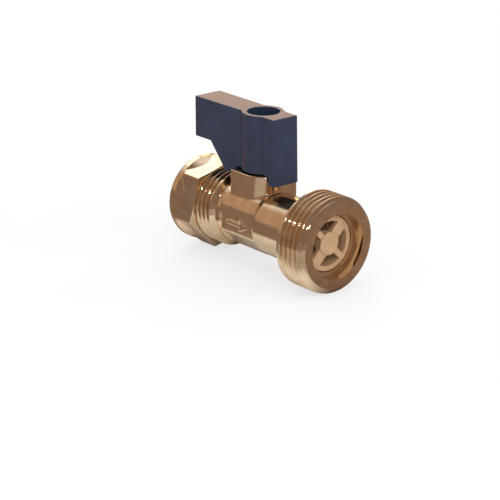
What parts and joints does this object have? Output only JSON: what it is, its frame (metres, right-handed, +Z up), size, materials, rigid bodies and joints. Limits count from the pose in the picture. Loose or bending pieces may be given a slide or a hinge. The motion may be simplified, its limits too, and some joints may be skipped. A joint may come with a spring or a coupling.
{
  "type": "washing machine valve",
  "caption": "Straight brass ball valve for a washing machine hose: compression inlet with nut, blue quarter-turn lever, arrow on the block, threaded outlet with a check valve.",
  "frame": {"origin": "on the flow axis, at the stop that the end of the supply pipe meets inside the body", "axes": "+X along the flow, out of the threaded outlet; +Z up along the stem to the lever; +Y to the left when looking along +X"},
  "size_m": [0.0571, 0.0264, 0.0434],
  "materials": {
    "brass": "bright machined",
    "plated_brass": "polished",
    "ptfe": "matte",
    "rubber": "matte",
    "blue_plastic": "moulded satin",
    "pale_plastic": "moulded satin",
    "plated_steel": "zinc plated",
    "spring_steel": "drawn wire"
  },
  "bodies": {
    "valve": {"valve_body": "brass", "compression_ring": "brass", "inlet_seat": "ptfe", "outlet_seat": "ptfe", "seat_retainer": "brass", "stem_thrust_washer": "ptfe", "check_valve_cage": "pale_plastic", "check_valve_housing": "pale_plastic", "cartridge_o_ring": "rubber", "check_valve_spring": "spring_steel"},
    "lever_and_ball": {"lever": "blue_plastic", "lever_screw": "plated_steel", "screw_washer": "plated_steel", "stem": "brass", "stem_o_ring_lower": "rubber", "stem_o_ring_upper": "rubber", "ball": "plated_brass"},
    "nut": {"compression_nut": "brass"},
    "poppet": {"check_valve_poppet": "pale_plastic", "poppet_seal": "rubber"}
  },
  "joints": [
    {"name": "lever_turn", "type": "hinge", "parent": "valve", "child": "lever_and_ball", "pos_m": [0.0085, 0, 0], "axis": [0, 0, 1], "range_deg": [-90, 0]},
    {"name": "nut_turn", "type": "hinge", "parent": "valve", "child": "nut", "pos_m": [-0.0132, 0, 0], "axis": [1, 0, 0], "continuous": true},
    {"name": "check_valve_slide", "type": "slide", "parent": "valve", "child": "poppet", "axis": [1, 0, 0], "range_m": [0, 0.003], "stiffness_N_per_m": 200, "springref_m": -0.002, "deforming": ["check_valve_spring"]}
  ]
}
